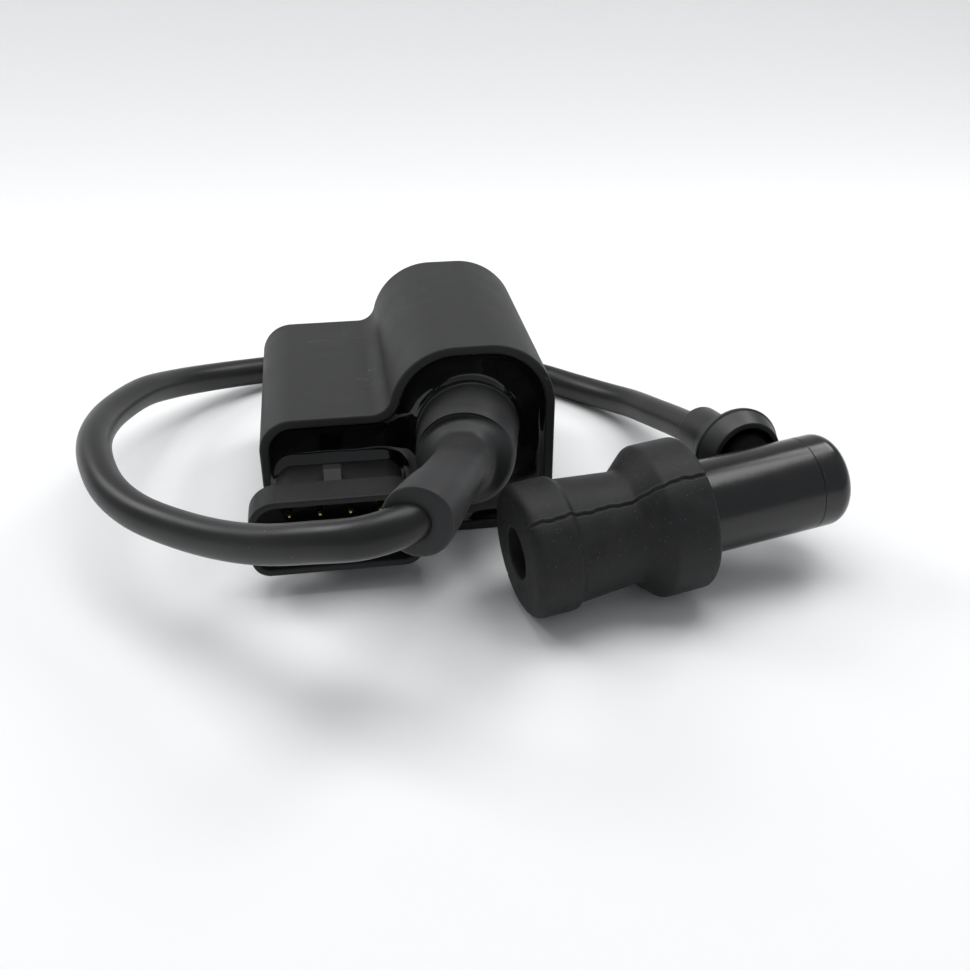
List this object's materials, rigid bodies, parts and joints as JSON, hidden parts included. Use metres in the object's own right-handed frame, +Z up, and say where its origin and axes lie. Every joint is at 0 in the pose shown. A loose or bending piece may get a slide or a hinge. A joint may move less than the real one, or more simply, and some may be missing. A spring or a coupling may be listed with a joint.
{
  "type": "ignition coil",
  "caption": "Potted ignition coil unit with a multi-pin header, a high-tension lead leaving through a rubber elbow boot, and a right-angled plug cap with a rubber seal.",
  "frame": {"origin": "middle of the case's base, in the plane that it stands on", "axes": "+X across the case towards its domed end, +Y from the open potted face to the back, +Z up"},
  "size_m": [0.1515, 0.1439, 0.0426],
  "materials": {
    "case_plastic": "fine-grained matte black moulding",
    "resin": "mirror-smooth black potting",
    "header_plastic": "satin black moulding",
    "tower_plastic": "satin black moulding",
    "boot_rubber": "smooth matte black rubber",
    "seal_rubber": "dusty matte black rubber with a mould parting line",
    "grommet_rubber": "satin black rubber",
    "lead_jacket": "smooth satin black jacket",
    "cap_plastic": "semi-gloss black moulding",
    "pin_metal": "bright tin-gold plating",
    "brass": "plain brass",
    "core_steel": "laminated steel",
    "bobbin_plastic": "natural nylon",
    "winding": "enamelled copper",
    "board": "green solder mask",
    "capacitor_case": "glossy red",
    "component_epoxy": "matte black epoxy",
    "resistor_body": "tan lacquer",
    "ceramic": "glazed ceramic with metal ends",
    "spring_steel": "bright spring wire"
  },
  "bodies": {
    "root": {"case": "case_plastic", "potting_resin": "resin", "insert_left": "brass", "insert_right": "brass", "header_shroud": "header_plastic", "header_pin_1": "pin_metal", "header_pin_2": "pin_metal", "header_pin_3": "pin_metal", "header_pin_4": "pin_metal", "ht_tower": "tower_plastic", "tower_pin": "brass", "lead_terminal": "brass", "elbow_boot": "boot_rubber", "ht_lead": "lead_jacket", "lead_grommet": "grommet_rubber", "iron_core": "core_steel", "primary_bobbin": "bobbin_plastic", "primary_winding": "winding", "secondary_bobbin": "bobbin_plastic", "secondary_winding": "winding", "circuit_board": "board", "storage_capacitor": "capacitor_case", "thyristor": "component_epoxy", "charge_diode": "component_epoxy", "trigger_diode": "component_epoxy", "gate_resistor": "resistor_body", "bleed_resistor": "resistor_body"},
    "plug_cap": {"cap_barrel": "cap_plastic", "cap_end_plug": "cap_plastic", "plug_terminal": "brass", "contact_spring": "spring_steel", "suppressor_resistor": "ceramic", "lead_screw": "brass"},
    "seal": {"seal_boot": "seal_rubber"}
  },
  "joints": [
    {"name": "cap_turn", "type": "hinge", "parent": "root", "child": "plug_cap", "pos_m": [0.07053, -0.04651, 0.01674], "axis": [-0.1701, 0.9816, 0.087], "range_deg": [0, 110]},
    {"name": "seal_slide", "type": "slide", "parent": "plug_cap", "child": "seal", "axis": [0.9841, 0.1647, 0.0663], "range_m": [0, 0.007]}
  ]
}
